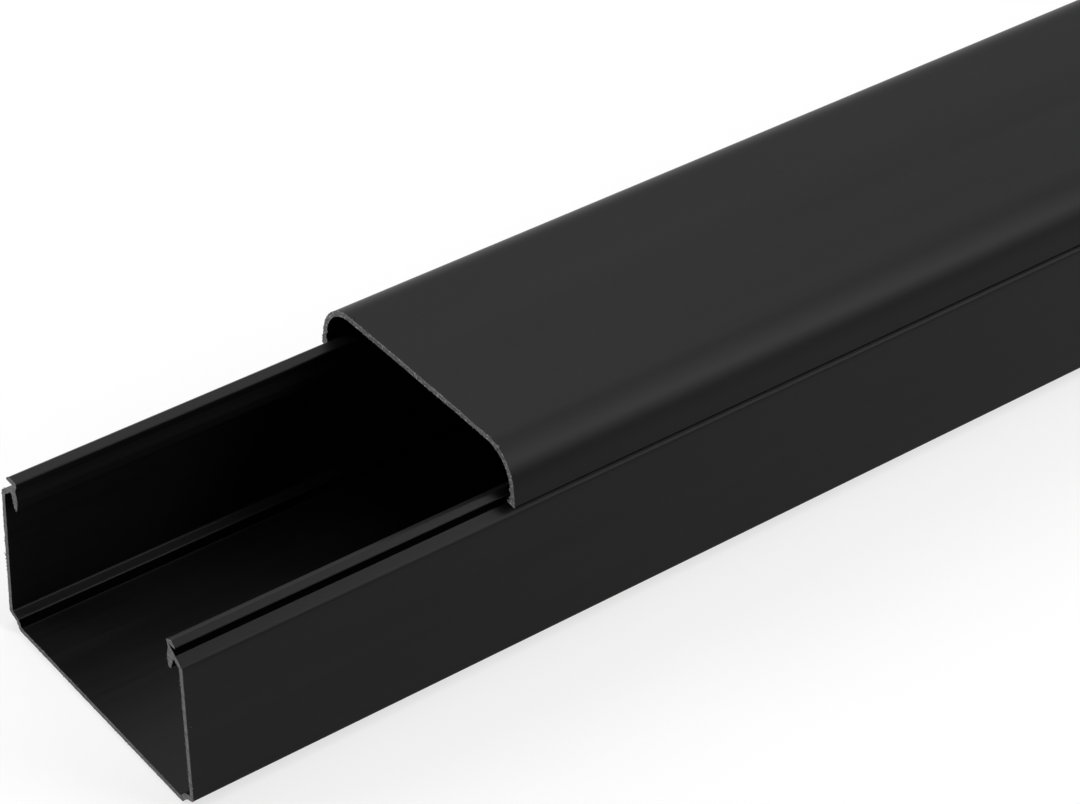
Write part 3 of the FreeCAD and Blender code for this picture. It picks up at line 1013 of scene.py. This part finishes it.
@dataclass
class SnapCover(Extrusion):
    """The cover, whose two hooks snap under the base's rails.

    Args:
        base: The channel that it closes.
        painted_shade_edge: Height of the strip of painted shade along the outside of each foot, where the
            seam is shaded.
    """

    base: ChannelBase = None
    painted_shade_edge: float = 0.4
    wall: float = 1.35
    crown: float = 0.15
    corner_radius: float = 10.8
    splay: float = 2.15
    seam: float = 3.4
    clearance: float = 0.3
    hook_reach: float = 0.3
    hook_height: float = 0.8
    rail_gap: float = 0.45
    foot_lift: float = 1.0
    ridge_lift: float = 3.0
    ridge_height: float = 1.0
    ridge_reach: float = 0.5
    tip_radius: float = 0.2

    def foot(self) -> Corner:
        """The leg's outer corner at its foot."""
        bend = self.base.shoulder_bend()
        return Corner(bend.across, bend.up + self.seam, self.tip_radius)

    def is_painted_shade(self, across: np.ndarray, up: np.ndarray) -> np.ndarray:
        """Only the lower edge of the foot gets painted shade, for the shade in the seam."""
        foot = self.foot()
        # Painted shade along the foot's lower edge, for the shaded seam.
        return (up < foot.up + self.painted_shade_edge) & (across > foot.across - self.wall / 2)

    def half_outline(self) -> list[Vector]:
        """Crown, rounded corner, leg, hook, thick foot, ridge and back under the crown."""
        foot = self.foot()
        corner_across = foot.across - self.splay
        flat = corner_across - self.corner_radius
        slope = self.crown * 2 / flat
        outer_up = self.height - self.crown - slope * self.corner_radius
        outer = Corner(corner_across, outer_up, self.corner_radius)
        # The outline gets a corner at the top of the strip of painted shade, so that its faces end there.
        painted_shade_top = foot.up + self.painted_shade_edge
        edge = Corner(foot.across - self.splay * self.painted_shade_edge / (outer_up - foot.up), painted_shade_top)
        radius = flat / slope
        face = self.crown_end(self.height, radius, outer)
        inner = inset(foot, outer, face, self.wall, self.corner_radius - self.wall)
        ceiling = self.crown_end(self.height - self.wall, radius - self.wall, inner)
        leg = chain([face, outer, edge, foot, *self.leg_inside(foot, outer, inner), inner, ceiling])
        over = self.crown_arc(self.height, radius, face)
        under = self.crown_arc(self.height - self.wall, radius - self.wall, ceiling)
        return over + leg + under[::-1]

    def leg_inside(self, foot: Corner, outer: Corner, inner: Corner) -> list[Corner]:
        """The corners on the inside of the leg.

        Args:
            foot: The leg's outer corner at its foot.
            outer: The corner between the cover's face and the leg.
            inner: The corner one wall inside it.

        Returns:
            The corners of the hook, the thick foot and the ridge, from the foot upwards.
        """
        lean = self.splay / (outer.up - foot.up)
        low, rail_tip, tip = self.base.rail_underside(), self.base.rail_tip(), self.tip_radius
        hook_edge, hook_top = rail_tip - self.hook_reach, low - self.clearance
        recess, foot_top = rail_tip + self.rail_gap, low + self.foot_lift
        ridge = low + self.ridge_lift
        places = {
            up: inner.across + (inner.up - up) * lean
            for up in (foot_top, ridge - self.ridge_height / 2, ridge, ridge + self.ridge_height / 2)
        }
        on_leg = [Corner(across, up) for up, across in places.items()]
        on_leg[2] = Corner(places[ridge] - self.ridge_reach, ridge, tip)
        return [
            Corner(hook_edge, hook_top - self.hook_height, tip), Corner(hook_edge, hook_top, tip),
            Corner(recess, hook_top), Corner(recess, foot_top), *on_leg,
        ]

    @staticmethod
    def crown_end(top: float, radius: float, corner: Corner) -> Corner:
        """Where the line from a corner runs on into the crown's arc without a bend."""
        centre = Vector((0, top - radius))
        spoke = corner.point() - centre
        angle = math.atan2(spoke.y, spoke.x) + math.acos(radius / spoke.length)
        return Corner(radius * math.cos(angle), centre.y + radius * math.sin(angle))

    @staticmethod
    def crown_arc(top: float, radius: float, end: Corner) -> list[Vector]:
        """Points of the crown from the middle plane up to, but without, its end."""
        steps = math.ceil(end.across / RUN_STEP)
        spots = [end.across * step / steps for step in range(steps)]
        return [Vector((x, top - radius + math.sqrt(radius ** 2 - x ** 2))) for x in spots]


@dataclass(frozen=True)
class Softbox:
    """A square of soft light that looks at the open end of the channel.

    Args:
        side: Where it stands, in words.
        towards: Direction in which it stands, as seen from the point that it looks at.
        power: Its power in watts.
        distance: How far away it stands, in metres.
        width: Length of its sides in metres.
    """

    side: str
    towards: Triple
    power: float
    distance: float = 2.4
    width: float = 1.1

    def build(self, aim: Vector) -> None:
        """Sets the lamp up, out of sight of the camera."""
        lamp = bpy.data.lights.new(f"softbox_{self.side}", "AREA")
        lamp.shape, lamp.size, lamp.energy = "SQUARE", self.width, self.power
        made = add_object(lamp.name, lamp)
        away = Vector(self.towards).normalized()
        made.location = aim + away * self.distance
        made.rotation_euler = away.to_track_quat("Z", "Y").to_euler()
        made.visible_camera = False


@dataclass(frozen=True)
class Studio:
    """A pale floor, a white surrounding and soft light from above.

    Args:
        aim: The point that the lamps look at.
        floor_size: Width of the floor in metres.
        floor_grey: Grey of the floor, as linear light.
        floor_glow: White that the eye and the gloss see on the floor besides its own light.
        floor_roughness: Roughness of the floor.
        ambient: Strength of the white surrounding as a light.
        bright_side: Direction in which the surrounding is plain white.
        dim_side: Its grey on the side where it is dimmest.
        fade: Where it is dimmest and where the white starts, along the bright side's direction.
        softboxes: The lamps.
    """

    aim: Triple = (-0.75, 0.0, 0.03)
    floor_size: float = 30.0
    floor_grey: float = 0.34
    floor_glow: float = 0.66
    floor_roughness: float = 0.9
    ambient: float = 0.06
    bright_side: Triple = (-0.50, 0.85, 0.10)
    dim_side: float = 0.8
    fade: Span = (0.05, 0.42)
    softboxes: tuple[Softbox, ...] = (
        Softbox("above", (0.0, 0.0, 1.0), 10.0),
        Softbox("left_front", (-0.68, 0.52, 0.53), 27.0),
        Softbox("left", (0.0, 0.85, 0.53), 6.0),
        Softbox("behind_left", (0.25, 0.50, 0.83), 7.5),
        Softbox("behind_top", (0.49, 0.22, 0.84), 5.0),
        Softbox("behind", (0.49, -0.26, 0.83), 12.0),
        Softbox("behind_right", (0.49, -0.60, 0.62), 19.0),
        Softbox("right", (0.49, -0.78, 0.40), 10.0),
    )

    def build(self) -> None:
        """Sets up the lamps, the surrounding and the floor."""
        for softbox in self.softboxes:
            softbox.build(Vector(self.aim))
        self.surround()
        self.lay_floor()

    @staticmethod
    def seen(wiring: Wiring) -> Socket:
        """One for the rays of the eye, of gloss and of glass, and nought for all others."""
        path = wiring.add("ShaderNodeLightPath").outputs
        direct = wiring.math("MAXIMUM", path["Is Camera Ray"], path["Is Glossy Ray"])
        return wiring.math("MAXIMUM", direct, path["Is Transmission Ray"])

    def surround(self) -> None:
        """White for the eye, for gloss and for glass, and a milder light on everything else."""
        world = bpy.data.worlds.new("white_surrounding")
        world.use_nodes = True
        bpy.context.scene.world = world
        wiring = Wiring(world.node_tree)
        way = wiring.add("ShaderNodeTexCoord").outputs["Generated"]
        side = wiring.add("ShaderNodeVectorMath", {0: way, 1: self.bright_side}, operation="DOT_PRODUCT")
        grey = wiring.spread(side.outputs["Value"], *self.fade, self.dim_side)
        strength = wiring.spread(self.seen(wiring), 0.0, 1.0, self.ambient)
        wiring.feed(world.node_tree.nodes["Background"], {"Color": wiring.grey(grey), "Strength": strength})

    def lay_floor(self) -> None:
        """The pale floor that the part lies on."""
        mesh = bpy.data.meshes.new("pale_floor")
        half = self.floor_size / 2
        corners = [(-half, -half, 0.0), (half, -half, 0.0), (half, half, 0.0), (-half, half, 0.0)]
        mesh.from_pydata(corners, [], [(0, 1, 2, 3)])
        made, wiring, shader = new_material("pale_floor")
        wiring.feed(shader, {
            "Base Color": (self.floor_grey,) * 3 + (1.0,),
            "Roughness": self.floor_roughness,
            "Specular IOR Level": 0.0,
            "Emission Color": (1.0, 1.0, 1.0, 1.0),
            "Emission Strength": wiring.times(self.seen(wiring), self.floor_glow),
        })
        mesh.materials.append(made)
        floor = add_object("pale_floor", mesh)


@dataclass(frozen=True)
class Viewpoint:
    """The place and lens of the photograph, worked out from the two cut ends.

    Args:
        place: Where the lens is, in metres.
        right: Direction of the picture's right side.
        up: Direction of the picture's upper side.
        lens: Focal length in millimetres.
        film: Width of the film in millimetres.
        nearest: Nearest distance that it shows, in metres.
    """

    place: Triple = (-1.2967, -0.5311, 0.5656)
    right: Triple = (0.7943, -0.6069, 0.0276)
    up: Triple = (0.3568, 0.5027, 0.7873)
    lens: float = 118.07
    film: float = 36.0
    nearest: float = 0.01

    def build(self) -> None:
        """Sets up the camera."""
        camera = bpy.data.cameras.new("camera")
        camera.lens, camera.sensor_width, camera.sensor_fit = self.lens, self.film, "HORIZONTAL"
        camera.clip_start = self.nearest
        right = Vector(self.right).normalized()
        back = right.cross(Vector(self.up)).normalized()
        turn = Matrix((right, back.cross(right), back)).transposed()
        made = add_object("camera", camera)
        made.matrix_world = Matrix.Translation(self.place) @ turn.to_4x4()
        bpy.context.scene.camera = made


def main() -> None:
    """Builds the base, the cover, the studio and the camera."""
    logging.basicConfig(level=logging.INFO, format="%(message)s")
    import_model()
    bpy.context.scene.view_settings.view_transform = "Standard"
    Viewpoint().build()
    pushed, cut_burrs = PushedSection(), CutBurrs()
    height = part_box("snap_cover")[1].z / MM
    # The third finish of each piece is painted shade: a darker grey without gloss for its notches and seams.
    base = ChannelBase(
        "channel_base", "base", "base_plastic", SatinPlastic("base_satin", 2.0),
        SawnPlastic("base_sawn", 31.0, torn=0.3), PaintedShadePlastic("base_painted_shade", 5.0), seed=4, height=height,
    )
    cover = SnapCover(
        "snap_cover", "cover", "cover_plastic", SatinPlastic("cover_satin", 11.0),
        SawnPlastic("cover_sawn", 43.0), PaintedShadePlastic("cover_painted_shade", 17.0), seed=9, height=height,
        lumps=(Lump(-31.4, 58.0, End.NEAR, 0.85),), base=base,
    )
    for extrusion in (base, cover):
        for piece in extrusion.build(pushed, cut_burrs):
            LOG.info("%s: %d faces, rides on %s", piece.name, len(piece.data.polygons), extrusion.body)
    Studio().build()


if __name__ == "__main__":
    main()
